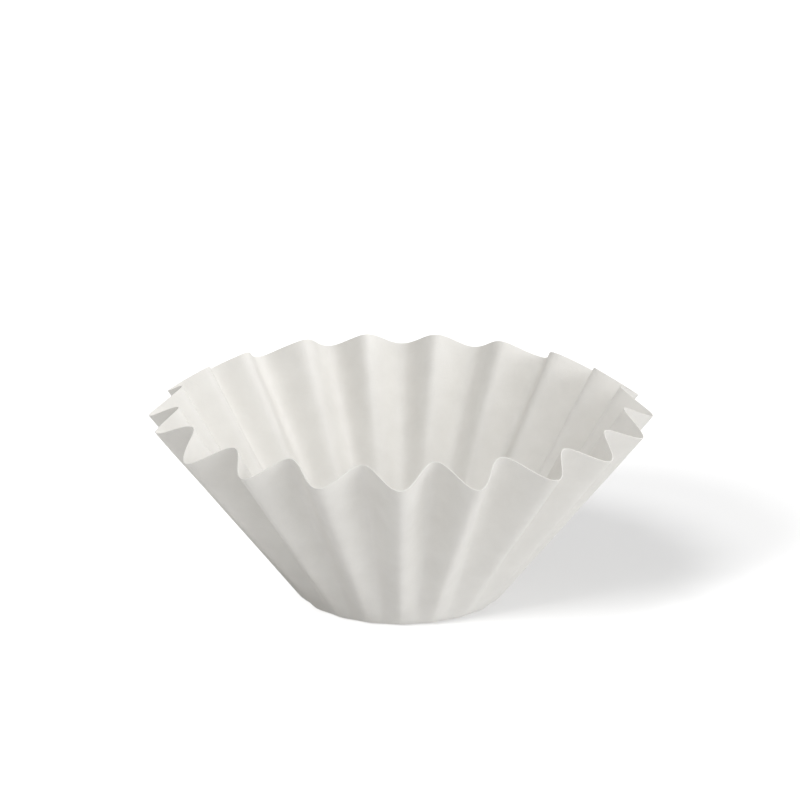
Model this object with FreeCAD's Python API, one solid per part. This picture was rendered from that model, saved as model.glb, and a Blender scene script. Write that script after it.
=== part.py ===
import FreeCAD, Part
import math
import os

# A paper coffee filter with a flat bottom, pressed from one round sheet. The sheet has a
# flat bottom, a rounded turn-up, and a wall of flutes that grow deeper towards the rim.
# Each flute is two flat flanks between rounded folds. Millimetres and degrees, +Z up,
# origin at the middle of the underside. One outer fold faces -Y.

# the flat sheet
blank_diameter = 185.0
paper_thickness = 0.2

# the bottom and its turn-up
bottom_diameter = 54.0  # where the wall would meet the table, half way between folds
flat_diameter = 51.4  # where the turn-up starts to lift off the table
turn_up_radius = 6.0

# the flutes, with sizes taken on the outer side of the paper
flute_count = 20
outer_fold_angle = 52.3  # slope of the outer folds, from the table
inner_fold_angle = 58.5  # slope of the inner folds, from the table
outer_fold_radius = 2.6
inner_fold_radius = 2.3

# The shapes that trim the wall: how far they run past it and past each other, and by how
# many degrees the turn-up's last slope lies under the outer folds.
trim_overrun = 5.0
foot_overrun = 1.0
turn_up_shortfall = 4.0

# what follows from them
half_pitch = math.pi / flute_count
outer_lean = math.radians(outer_fold_angle)
inner_lean = math.radians(inner_fold_angle)
wall_length = (blank_diameter - bottom_diameter) / 2


def polar(radius, azimuth, height):
    return FreeCAD.Vector(radius * math.cos(azimuth), radius * math.sin(azimuth), height)


def foot_ease(radius, turn, lean):
    # How far a rounded fold lies from the sharp one, measured along the table.
    return radius * (1 / math.cos(turn) - 1) / math.sin(lean)


# A flank lies along an outer and an inner fold, and each fold turns from its flank to
# the plane that the fold is mirrored in.
outer_along = polar(math.cos(outer_lean), 0, math.sin(outer_lean))
inner_along = polar(math.cos(inner_lean), half_pitch, math.sin(inner_lean))
flank_normal = inner_along.cross(outer_along).normalize()
outer_turn = flank_normal.getAngle(polar(math.sin(outer_lean), 0, -math.cos(outer_lean)))
inner_turn = flank_normal.getAngle(polar(math.sin(inner_lean), half_pitch, -math.cos(inner_lean)))

# All sharp folds would meet at one point of the axis, this far under the table.
outer_ease = foot_ease(outer_fold_radius, outer_turn, outer_lean)
inner_ease = foot_ease(inner_fold_radius, inner_turn, inner_lean)
outer_spread = 1 / math.tan(outer_lean)
inner_spread = 1 / math.tan(inner_lean)
apex_depth = (bottom_diameter + outer_ease - inner_ease) / (outer_spread + inner_spread)

# The rim's outer and inner folds, which lie equally far up the wall.
outer_rim_radius = apex_depth * outer_spread - outer_ease + wall_length * math.cos(outer_lean)
inner_rim_radius = apex_depth * inner_spread + inner_ease + wall_length * math.cos(inner_lean)
outer_rim_height = wall_length * math.sin(outer_lean)
inner_rim_height = wall_length * math.sin(inner_lean)


def star(depth, bottom, top):
    # A solid with sharp folds that all point at one depth under the table.
    def corner(n, height):
        spread = inner_spread if n % 2 else outer_spread
        return polar((height + depth) * spread, n * half_pitch - math.pi / 2, height)

    count = 2 * flute_count
    lower = [corner(n, bottom) for n in range(count)]
    upper = [corner(n, top) for n in range(count)]
    faces = [Part.Face(Part.makePolygon(ring + ring[:1])) for ring in (lower, upper)]
    for n in range(count):
        after = (n + 1) % count
        flank = [lower[n], upper[n], upper[after], lower[after], lower[n]]
        faces.append(Part.Face(Part.makePolygon(flank)))
    skin = Part.makeCompound(faces)
    skin.sewShape()
    return Part.Solid(skin.Shells[0])


def round_folds(solid, spread, depth, radius):
    # Rounds the sharp folds of one spread, which all run from the bottom to the top.
    folds = []
    for edge in solid.Edges:
        low, high = sorted((vertex.Point for vertex in edge.Vertexes), key=lambda point: point.z)
        if high.z - low.z < wall_length / 2:
            continue
        reach = math.hypot(high.x, high.y)
        if math.isclose(reach, (high.z + depth) * spread, rel_tol=1e-6):
            folds.append(edge)
    return solid.makeFillet(radius, folds)


def fluted(inset, top):
    # The solid inside the wall's outer side, or inside a side that lies inset from it.
    depth = apex_depth - inset / abs(flank_normal.z)
    solid = star(depth, -inset - foot_overrun, top)
    solid = round_folds(solid, outer_spread, depth, outer_fold_radius - inset)
    return round_folds(solid, inner_spread, depth, inner_fold_radius + inset)


def bowl(inset, top):
    # A turned solid that trims the foot of the wall to the bottom and its turn-up.
    flat = flat_diameter / 2
    radius = turn_up_radius - inset
    last = outer_lean - math.radians(turn_up_shortfall)
    reach = outer_rim_radius + trim_overrun

    def on_arc(slope):
        height = turn_up_radius - radius * math.cos(slope)
        return FreeCAD.Vector(flat + radius * math.sin(slope), 0, height)

    turned = on_arc(last)
    edge_height = turned.z + (reach - turned.x) * math.tan(last)
    arc = Part.Arc(on_arc(0), on_arc(last / 2), turned).toShape()
    rest = Part.makePolygon([
        turned,
        FreeCAD.Vector(reach, 0, edge_height),
        FreeCAD.Vector(reach, 0, top),
        FreeCAD.Vector(0, 0, top),
        FreeCAD.Vector(0, 0, inset),
        on_arc(0),
    ])
    profile = Part.Face(Part.Wire([arc] + rest.Edges))
    return profile.revolve(FreeCAD.Vector(0, 0, 0), FreeCAD.Vector(0, 0, 1), 360)


def rim_cone():
    # A turned solid whose slope cuts the paper at the ends of all the folds.
    fall = (inner_rim_height - outer_rim_height) / (outer_rim_radius - inner_rim_radius)
    height = outer_rim_height + outer_rim_radius * fall
    return Part.makeCone(height / fall, 0, height)


def filter_paper():
    outer_top = inner_rim_height + trim_overrun
    inner_top = outer_top + trim_overrun
    bowl_top = inner_top + trim_overrun
    outside = fluted(0, outer_top).common(bowl(0, bowl_top)).common(rim_cone())
    inside = fluted(paper_thickness, inner_top).common(bowl(paper_thickness, bowl_top))
    return outside.cut(inside).Solids[0]


os.makedirs("parts", exist_ok=True)
sheet = filter_paper()
sheet.exportStep("parts/filter_paper.step")
print("outer folds end at radius", round(outer_rim_radius, 2), "height", round(outer_rim_height, 2))
print("inner folds end at radius", round(inner_rim_radius, 2), "height", round(inner_rim_height, 2))
print("volume", round(sheet.Volume, 1), "faces", len(sheet.Faces))
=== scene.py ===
import math
import random

import bpy
import numpy as np
from mathutils import Matrix, Vector, noise


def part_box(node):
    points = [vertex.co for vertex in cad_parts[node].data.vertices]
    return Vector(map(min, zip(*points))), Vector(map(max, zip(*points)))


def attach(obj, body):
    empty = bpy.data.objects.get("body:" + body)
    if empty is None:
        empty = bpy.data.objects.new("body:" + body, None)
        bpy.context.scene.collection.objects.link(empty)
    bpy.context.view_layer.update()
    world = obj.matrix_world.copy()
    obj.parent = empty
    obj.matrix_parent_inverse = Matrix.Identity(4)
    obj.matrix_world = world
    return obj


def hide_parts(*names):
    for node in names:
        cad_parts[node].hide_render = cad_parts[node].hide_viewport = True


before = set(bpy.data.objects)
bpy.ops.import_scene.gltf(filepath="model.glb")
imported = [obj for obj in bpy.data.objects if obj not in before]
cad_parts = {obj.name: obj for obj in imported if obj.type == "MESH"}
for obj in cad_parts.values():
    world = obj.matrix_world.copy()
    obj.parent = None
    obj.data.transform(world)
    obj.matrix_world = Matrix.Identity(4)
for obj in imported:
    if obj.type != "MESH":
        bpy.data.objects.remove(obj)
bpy.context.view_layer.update()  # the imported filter, whose plain sheet gives the place and the size
sheetLow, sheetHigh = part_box("filter_paper")
print("frame loaded, nodes:", len(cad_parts))

# the pressed sheet, in metres and degrees
pressedSheet = {
    "flutes": 20,
    "wallLength": 0.0655,  # along any fold, from the table to the rim
    "thickness": 0.0002,
    "footRadius": 0.027,  # half way between the folds, where the wall would meet the table
    "footDepth": 0.0003,  # from outer to inner fold there
    "turnUpReach": 0.0027,  # how far the rounding runs, along the bottom and up the wall
    # share of half a flute's width that a fold rounds over
    "outerRoundness": {"foot": 0.22, "rim": 0.30},
    "innerRoundness": {"foot": 0.24, "rim": 0.26},
    "rimDraw": 0.0003,  # how far the folds pull the rim in from the plain sheet's
    "rimRise": 0.0001,  # and lift it
    "bottomCrown": 0.00025,  # how high the flat bottom bows at its middle
    "creaseHeight": 0.00006,  # of the fold traces at the bottom's edge
    "creaseLength": 0.007,
    # how the folds stray from an even spacing, in degrees
    "seed": 7,
    "turn": 0.9,  # at most, round the axis at the rim
    "footShare": 0.35,  # how much of the turn is left at the table
    "lean": 0.6,  # at most, steeper or flatter
    # turn and lean of the front ones, counted to the right from the middle outer fold
    # and from the inner fold just right of it
    "outerFolds": {-4: (-3.4, 0.3), -3: (-0.6, -1.2), -2: (-0.6, -0.2), -1: (-0.2, 0.5),
                   0: (0.2, 1.0), 1: (-0.5, 0.3), 2: (0.7, -0.5), 3: (0.3, 0.0), 4: (0.4, 0.3)},
    "innerFolds": {-4: (-1.2, -0.3), -3: (0.3, -0.6), -2: (-0.8, 0.0), -1: (-0.1, 0.5),
                   0: (-0.2, 1.5), 1: (-1.1, 1.0)},
    "warp": 0.00016,  # soft unevenness of the wall, which grows towards the rim
    "warpSize": 0.016,
    "rimLength": 0.0002,  # how far the cut edge strays
    "rimSize": 0.008,
    "rimPower": 4,  # the higher it is, the nearer to the rim the straying starts
    # mesh rows and columns
    "halfFluteColumns": 12,
    "bottomRows": 12,
    "bottomCrowding": 0.7,  # under 1, it crowds these rows towards the bottom's edge
    "turnUpRows": 9,
    "wallRows": 44,
    "cutAngle": 60,  # only the cut edge is a sharper corner than this
}


def polar(radius, azimuth, height):
    return np.array([radius * math.cos(azimuth), radius * math.sin(azimuth), height])


def around(azimuth):
    # the direction that runs round the axis there
    return polar(1, azimuth + math.pi / 2, 0)


def mix(start, end, share):
    return start + (end - start) * share


def makeFolds():
    # each fold is its foot and its rim, on the outer side of the sheet
    size = pressedSheet
    dice = random.Random(size["seed"])
    pitch = 2 * math.pi / size["flutes"]
    outerFoot = size["footRadius"] + size["footDepth"] / 2
    innerFoot = size["footRadius"] - size["footDepth"] / 2
    outerRim = sheetHigh.x - size["rimDraw"]
    innerHeight = sheetHigh.z + size["rimRise"]
    outerLean = math.acos((outerRim - outerFoot) / size["wallLength"])
    innerLean = math.asin(innerHeight / size["wallLength"])
    folds = []
    for n in range(2 * size["flutes"]):
        isOuter = n % 2 == 0
        index = (n // 2 + size["flutes"] // 2) % size["flutes"] - size["flutes"] // 2
        chosen = size["outerFolds" if isOuter else "innerFolds"]
        drawn = (dice.uniform(-1, 1) * size["turn"], dice.uniform(-1, 1) * size["lean"])
        stray, steeper = (math.radians(angle) for angle in chosen.get(index, drawn))
        lean = (outerLean if isOuter else innerLean) + steeper
        even = n * pitch / 2 - math.pi / 2
        footRadius = outerFoot if isOuter else innerFoot
        rimRadius = footRadius + size["wallLength"] * math.cos(lean)
        footAzimuth = even + stray * size["footShare"]
        rimAzimuth = even + stray
        folds.append({
            "foot": polar(footRadius, footAzimuth, 0),
            "rim": polar(rimRadius, rimAzimuth, size["wallLength"] * math.sin(lean)),
            "footAround": around(footAzimuth),
            "rimAround": around(rimAzimuth),
            "roundness": size["outerRoundness" if isOuter else "innerRoundness"],
        })
    return folds


def halfFlute(start, end, level, count):
    # points of a cubic curve from one fold to the next, at the level of the foot or the rim
    first, last = start[level], end[level]
    width = np.linalg.norm((last - first)[:2])
    leave = first + start[level + "Around"] * width * start["roundness"][level]
    arrive = last - end[level + "Around"] * width * end["roundness"][level]
    points = []
    for step in range(count):
        t = step / count
        u = 1 - t
        points.append(u ** 3 * first + 3 * u * u * t * leave + 3 * u * t * t * arrive + t ** 3 * last)
    return points


def outerSide():
    # rows of points from the middle of the bottom to the rim, on the outer side
    size = pressedSheet
    folds = makeFolds()
    foot, rim = [], []
    for start, end in zip(folds, folds[1:] + folds[:1]):
        foot += halfFlute(start, end, "foot", size["halfFluteColumns"])
        rim += halfFlute(start, end, "rim", size["halfFluteColumns"])
    foot, rim = np.array(foot), np.array(rim)
    radius = np.linalg.norm(foot[:, :2], axis=1)
    outward = np.column_stack([foot[:, 0] / radius, foot[:, 1] / radius, np.zeros(len(foot))])
    flatRadius = size["footRadius"] - size["turnUpReach"]
    flat = outward * flatRadius
    wallStart = mix(foot, rim, size["turnUpReach"] / size["wallLength"])
    # where a point lies in its flute, 1 at an outer fold and 0 at an inner one
    depth = (radius - radius.min()) / (radius.max() - radius.min())

    rows = []
    for step in range(1, size["bottomRows"] + 1):
        share = (step / size["bottomRows"]) ** size["bottomCrowding"]
        row = flat * share
        along = min(1, (1 - share) * flatRadius / size["creaseLength"])
        hump = 4 * along * (1 - along)  # 1 half way along a fold's trace, 0 at its ends
        crown = size["bottomCrown"] * (1 - share ** 2)
        row[:, 2] = crown + size["creaseHeight"] * (1 - depth) * hump
        rows.append(row)
    for step in range(1, size["turnUpRows"] + 1):
        share = step / size["turnUpRows"]  # along a curve that bends round the foot
        rows.append(mix(mix(flat, foot, share), mix(foot, wallStart, share), share))
    for step in range(1, size["wallRows"] + 1):
        rows.append(mix(wallStart, rim, step / size["wallRows"]))
    return np.array(rows)


def surfaceNormals(rows):
    along = np.gradient(rows, axis=0)
    across = np.roll(rows, -1, axis=1) - np.roll(rows, 1, axis=1)
    normals = np.cross(across, along)
    return normals / np.linalg.norm(normals, axis=2, keepdims=True)


def softenWall(rows):
    # the pressed paper isn't quite even, more so towards the rim
    size = pressedSheet
    elsewhere = Vector((5, 0, 0))  # a stretch of noise that the warp doesn't use
    normals = surfaceNormals(rows)
    onWall = range(size["bottomRows"] + size["turnUpRows"], len(rows))
    up = rows[-1] - rows[onWall[0]]
    up /= np.linalg.norm(up, axis=1, keepdims=True)
    for r in onWall:
        share = (r - onWall[0] + 1) / len(onWall)
        for c in range(rows.shape[1]):
            place = Vector(rows[r, c])
            bulge = noise.noise(place / size["warpSize"])
            stretch = noise.noise(place / size["rimSize"] + elsewhere)
            rows[r, c] += normals[r, c] * bulge * size["warp"] * share
            rows[r, c] += up[c] * stretch * size["rimLength"] * share ** size["rimPower"]
    return rows


def closedSheet(rows, thickness):
    # both sides of the sheet, joined by the cut edge at the rim
    inner = rows - surfaceNormals(rows) * thickness
    count = rows.shape[1]
    points = []
    faces = []
    for side in (rows, inner):
        base = len(points)
        points.append(Vector((0, 0, side[0, :, 2].mean())))
        points += [Vector(point) for row in side for point in row]
        flip = side is inner
        for c in range(count):
            after = (c + 1) % count
            fan = [base, base + 1 + after, base + 1 + c]
            faces.append(fan[::-1] if flip else fan)
            for r in range(len(side) - 1):
                low = base + 1 + r * count
                quad = [low + c, low + after, low + count + after, low + count + c]
                faces.append(quad[::-1] if flip else quad)
    outerRim = 1 + (len(rows) - 1) * count
    innerRim = outerRim + len(points) // 2
    for c in range(count):
        after = (c + 1) % count
        faces.append([outerRim + c, outerRim + after, innerRim + after, innerRim + c])
    return points, faces


def flatPlaces(rows):
    # where each point lay in the flat round of paper, in the order of one side's points
    steps = np.linalg.norm(np.diff(rows, axis=0), axis=2)
    first = np.linalg.norm(rows[:1, :, :2], axis=2)
    radius = np.cumsum(np.vstack([first, steps]), axis=0)
    azimuth = np.linspace(0, 2 * math.pi, rows.shape[1], endpoint=False)
    level = np.zeros_like(radius)
    flat = np.stack([radius * np.cos(azimuth), radius * np.sin(azimuth), level], axis=2)
    return np.vstack([np.zeros((1, 3)), flat.reshape(-1, 3)])


def makeFilter():
    rows = softenWall(outerSide())
    points, faces = closedSheet(rows, pressedSheet["thickness"])
    mesh = bpy.data.meshes.new("pressedPaper")
    mesh.from_pydata(points, [], faces)
    bothSides = np.vstack([flatPlaces(rows)] * 2)
    flat = mesh.attributes.new("flatPlace", "FLOAT_VECTOR", "POINT")
    flat.data.foreach_set("vector", bothSides.ravel())
    mesh.shade_smooth()
    mesh.set_sharp_from_angle(angle=math.radians(pressedSheet["cutAngle"]))
    mesh.update()
    piece = bpy.data.objects.new("pressedPaper", mesh)
    bpy.context.scene.collection.objects.link(piece)
    piece.data.materials.append(makePaper())
    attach(piece, "root")
    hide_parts("filter_paper")
    print("sheet pressed:", len(points), "points")
    return piece


# the paper's finish, with sizes in metres
paperFinish = {
    "thick": (0.872, 0.868, 0.850, 1),  # its colour in thick and thin clouds of pulp
    "thin": (0.895, 0.891, 0.874, 1),
    "throughThick": (0.85, 0.805, 0.73, 1),  # and that of the light through them
    "throughThin": (0.94, 0.905, 0.84, 1),
    "seeThrough": 0.22,
    "clouds": {"size": 0.007, "detail": 4, "roughness": 0.6},
    "cloudEdges": (0.3, 0.7),  # noise values that are all thick and all thin
    "fibres": {"size": 0.0011, "detail": 6, "roughness": 0.7},
    "grain": {"size": 0.00035, "detail": 3, "roughness": 0.6},
    "crepe": {"width": 0.0009, "length": 0.006, "detail": 3, "bend": 0.4, "share": 0.8},
    "bumpHeight": 0.00004,  # of the fibres and of the grain; the creping has its share of this
    "roughness": (0.82, 0.98),
    "shine": 0.2,
}


def makePaper():
    look = paperFinish
    material = bpy.data.materials.new("filterPaper")
    material.use_nodes = True
    nodes, links = material.node_tree.nodes, material.node_tree.links
    nodes.clear()
    place = nodes.new("ShaderNodeTexCoord")

    def speckle(grade):
        texture = nodes.new("ShaderNodeTexNoise")
        texture.inputs["Scale"].default_value = 1 / grade["size"]
        texture.inputs["Detail"].default_value = grade["detail"]
        texture.inputs["Roughness"].default_value = grade["roughness"]
        links.new(place.outputs["Object"], texture.inputs["Vector"])
        return texture.outputs["Fac"]

    def between(share, low, high):
        blend = nodes.new("ShaderNodeMix")
        blend.data_type = "RGBA"
        blend.inputs[6].default_value = low  # colour A
        blend.inputs[7].default_value = high  # colour B
        links.new(share, blend.inputs[0])
        return blend.outputs[2]

    clouds = nodes.new("ShaderNodeMapRange")
    clouds.inputs["From Min"].default_value = look["cloudEdges"][0]
    clouds.inputs["From Max"].default_value = look["cloudEdges"][1]
    links.new(speckle(look["clouds"]), clouds.inputs["Value"])
    fibres = speckle(look["fibres"])
    grain = speckle(look["grain"])

    # creping runs one way in the flat round of paper
    flat = nodes.new("ShaderNodeAttribute")
    flat.attribute_name = "flatPlace"
    wrinkle = look["crepe"]
    stretch = nodes.new("ShaderNodeMapping")
    stretch.inputs["Scale"].default_value = (1 / wrinkle["width"], 1 / wrinkle["length"], 1)
    links.new(flat.outputs["Vector"], stretch.inputs["Vector"])
    crepe = nodes.new("ShaderNodeTexNoise")
    crepe.inputs["Scale"].default_value = 1
    crepe.inputs["Detail"].default_value = wrinkle["detail"]
    crepe.inputs["Distortion"].default_value = wrinkle["bend"]
    links.new(stretch.outputs[0], crepe.inputs["Vector"])

    rough = nodes.new("ShaderNodeMapRange")
    rough.inputs["To Min"].default_value = look["roughness"][0]
    rough.inputs["To Max"].default_value = look["roughness"][1]
    links.new(fibres, rough.inputs["Value"])

    nap = nodes.new("ShaderNodeMath")
    nap.operation = "ADD"
    links.new(fibres, nap.inputs[0])
    links.new(grain, nap.inputs[1])
    relief = nodes.new("ShaderNodeMath")
    relief.operation = "MULTIPLY_ADD"
    relief.inputs[1].default_value = wrinkle["share"]
    links.new(crepe.outputs["Fac"], relief.inputs[0])
    links.new(nap.outputs[0], relief.inputs[2])
    bump = nodes.new("ShaderNodeBump")
    bump.inputs["Distance"].default_value = look["bumpHeight"]
    links.new(relief.outputs[0], bump.inputs["Height"])

    front = nodes.new("ShaderNodeBsdfPrincipled")
    front.inputs["Specular IOR Level"].default_value = look["shine"]
    tone = between(clouds.outputs[0], look["thick"], look["thin"])
    links.new(tone, front.inputs["Base Color"])
    links.new(rough.outputs[0], front.inputs["Roughness"])
    links.new(bump.outputs[0], front.inputs["Normal"])

    through = nodes.new("ShaderNodeBsdfTranslucent")
    tint = between(clouds.outputs[0], look["throughThick"], look["throughThin"])
    links.new(tint, through.inputs["Color"])
    links.new(bump.outputs[0], through.inputs["Normal"])

    both = nodes.new("ShaderNodeMixShader")
    both.inputs[0].default_value = look["seeThrough"]
    links.new(front.outputs[0], both.inputs[1])
    links.new(through.outputs[0], both.inputs[2])
    output = nodes.new("ShaderNodeOutputMaterial")
    links.new(both.outputs[0], output.inputs["Surface"])
    return material


def seenByEye(nodes, links):
    # 1 for what the eye sees directly, mirrored or through glass
    path = nodes.new("ShaderNodeLightPath")
    first = nodes.new("ShaderNodeMath")
    first.operation = "MAXIMUM"
    links.new(path.outputs["Is Camera Ray"], first.inputs[0])
    links.new(path.outputs["Is Glossy Ray"], first.inputs[1])
    second = nodes.new("ShaderNodeMath")
    second.operation = "MAXIMUM"
    links.new(first.outputs[0], second.inputs[0])
    links.new(path.outputs["Is Transmission Ray"], second.inputs[1])
    return second.outputs[0]


# the floor
paleFloor = {
    "radius": 4.0,
    "sides": 64,
    "colour": (0.55, 0.55, 0.55, 1),
    "lift": 0.405,  # added for the eye alone, so that the floor reads as white
    "bounce": (0.1, 0.1, 0.1, 1),  # its colour for the light that it throws back
    # painted light: a glow that the floor gives the paper, in shadow too; painted shade at a dim place
    # left of the foot: none there, full away from it
    "dimPlace": (-0.038, -0.016, 0),
    "dimReach": 0.05,
    "fullGlow": 0.57,
}


def makeFloor():
    look = paleFloor
    points = [Vector((0, 0, 0))]
    count = look["sides"]
    for n in range(count):
        azimuth = 2 * math.pi * n / count
        points.append(Vector(polar(look["radius"], azimuth, 0)))
    faces = [[0, n + 1, (n + 1) % count + 1] for n in range(count)]
    mesh = bpy.data.meshes.new("paleFloor")
    mesh.from_pydata(points, [], faces)
    floor = bpy.data.objects.new("paleFloor", mesh)
    bpy.context.scene.collection.objects.link(floor)
    material = bpy.data.materials.new("paleFloor")
    material.use_nodes = True
    nodes, links = material.node_tree.nodes, material.node_tree.links
    nodes.clear()

    def glowingMatt(colour):
        matt = nodes.new("ShaderNodeBsdfDiffuse")
        matt.inputs["Color"].default_value = colour
        glow = nodes.new("ShaderNodeEmission")
        both = nodes.new("ShaderNodeAddShader")
        links.new(matt.outputs[0], both.inputs[0])
        links.new(glow.outputs[0], both.inputs[1])
        return both.outputs[0], glow.inputs["Strength"]

    # painted light and shade: the floor's glow lights the paper, and it fades to none round the dim place
    # so as to darken the paper's lower left
    place = nodes.new("ShaderNodeTexCoord")
    away = nodes.new("ShaderNodeVectorMath")
    away.operation = "DISTANCE"
    away.inputs[1].default_value = look["dimPlace"]
    links.new(place.outputs["Object"], away.inputs[0])
    rise = nodes.new("ShaderNodeMapRange")
    rise.inputs["From Max"].default_value = look["dimReach"]
    rise.inputs["To Max"].default_value = look["fullGlow"]
    links.new(away.outputs["Value"], rise.inputs["Value"])

    seen, seenGlow = glowingMatt(look["colour"])
    seenGlow.default_value = look["lift"]
    bounced, bouncedGlow = glowingMatt(look["bounce"])
    links.new(rise.outputs[0], bouncedGlow)
    chosen = nodes.new("ShaderNodeMixShader")
    links.new(seenByEye(nodes, links), chosen.inputs[0])
    links.new(bounced, chosen.inputs[1])
    links.new(seen, chosen.inputs[2])
    output = nodes.new("ShaderNodeOutputMaterial")
    links.new(chosen.outputs[0], output.inputs["Surface"])
    mesh.materials.append(material)
    print("floor laid")
    return floor


# the light round the filter, in metres, degrees and watts, the suns' per square metre
studio = {
    "ambient": 0.66,  # of the world, as light
    "eyeWhite": 1.0,  # and as the eye sees it
    # these light the paper only
    "softBoxes": {
        "rightWindow": {"place": (1.04, -0.6, 0.25), "size": 0.8, "power": 3.2},
        "rightWall": {"place": (1.12, -1.0, 0.33), "size": 1.5, "power": 8.2},
        "topWindow": {"place": (0.3, -0.35, 1.1), "size": 0.9, "power": 5.5},
    },
    # and these the floor only: wide suns above each other, for a soft shadow
    "sunAzimuth": 223,
    "sunElevations": (23, 31, 33, 59),
    "sunWidth": 23,
    "sunPower": 1.5,
}


def makeWorld():
    world = bpy.data.worlds.new("studio")
    bpy.context.scene.world = world
    world.use_nodes = True
    nodes, links = world.node_tree.nodes, world.node_tree.links
    nodes.clear()
    strength = nodes.new("ShaderNodeMix")
    strength.inputs[2].default_value = studio["ambient"]  # A
    strength.inputs[3].default_value = studio["eyeWhite"]  # B
    links.new(seenByEye(nodes, links), strength.inputs[0])
    sky = nodes.new("ShaderNodeBackground")
    links.new(strength.outputs[0], sky.inputs["Strength"])
    output = nodes.new("ShaderNodeOutputWorld")
    links.new(sky.outputs[0], output.inputs["Surface"])


def hangLamp(light, place, receiver):
    # stands the lamp at its place, turned to the filter, and lets it light the receiver only
    middle = Vector((0, 0, (sheetLow.z + sheetHigh.z) / 2))
    holder = bpy.data.objects.new(light.name, light)
    holder.location = place
    holder.rotation_euler = (middle - holder.location).to_track_quat("-Z", "Y").to_euler()
    bpy.context.scene.collection.objects.link(holder)
    lit = bpy.data.collections.new(light.name + "Lights")
    lit.objects.link(receiver)
    holder.light_linking.receiver_collection = lit


def makeLamps(paper, floor):
    for name, box in studio["softBoxes"].items():
        light = bpy.data.lights.new(name, "AREA")
        light.energy = box["power"]
        light.size = box["size"]
        hangLamp(light, Vector(box["place"]), paper)
    azimuth = math.radians(studio["sunAzimuth"])
    for height in studio["sunElevations"]:
        elevation = math.radians(height)
        light = bpy.data.lights.new("floorSun" + str(height), "SUN")
        light.energy = studio["sunPower"]
        light.angle = math.radians(studio["sunWidth"])
        hangLamp(light, Vector(polar(math.cos(elevation), azimuth, math.sin(elevation))), floor)
    print("lamps hung:", len(studio["softBoxes"]), "soft boxes and", len(studio["sunElevations"]), "suns")


# the eye, in metres and degrees
eye = {
    "distance": 1.08,
    "elevation": 17.35,
    "azimuth": 0.23,
    "roll": 0.1,
    "target": (-0.0002, 0, 0.0553),
    "lens": 179.3,  # millimetres, as the sensor is
    "sensor": 36.0,
    "farthest": 20,
}


def makeCamera():
    elevation = math.radians(eye["elevation"])
    azimuth = math.radians(eye["azimuth"]) - math.pi / 2
    back = Vector(polar(math.cos(elevation), azimuth, math.sin(elevation)))
    data = bpy.data.cameras.new("eye")
    data.lens = eye["lens"]
    data.sensor_width = eye["sensor"]
    data.clip_end = eye["farthest"]
    camera = bpy.data.objects.new("eye", data)
    turn = back.to_track_quat("Z", "Y").to_matrix().to_4x4()
    roll = Matrix.Rotation(math.radians(eye["roll"]), 4, "Z")
    place = Matrix.Translation(Vector(eye["target"]) + back * eye["distance"])
    camera.matrix_world = place @ turn @ roll
    bpy.context.scene.collection.objects.link(camera)
    bpy.context.scene.camera = camera


makeCamera()
piece = makeFilter()
floor = makeFloor()
makeWorld()
makeLamps(piece, floor)
bpy.context.scene.view_settings.view_transform = "Standard"
print("eye and studio set")
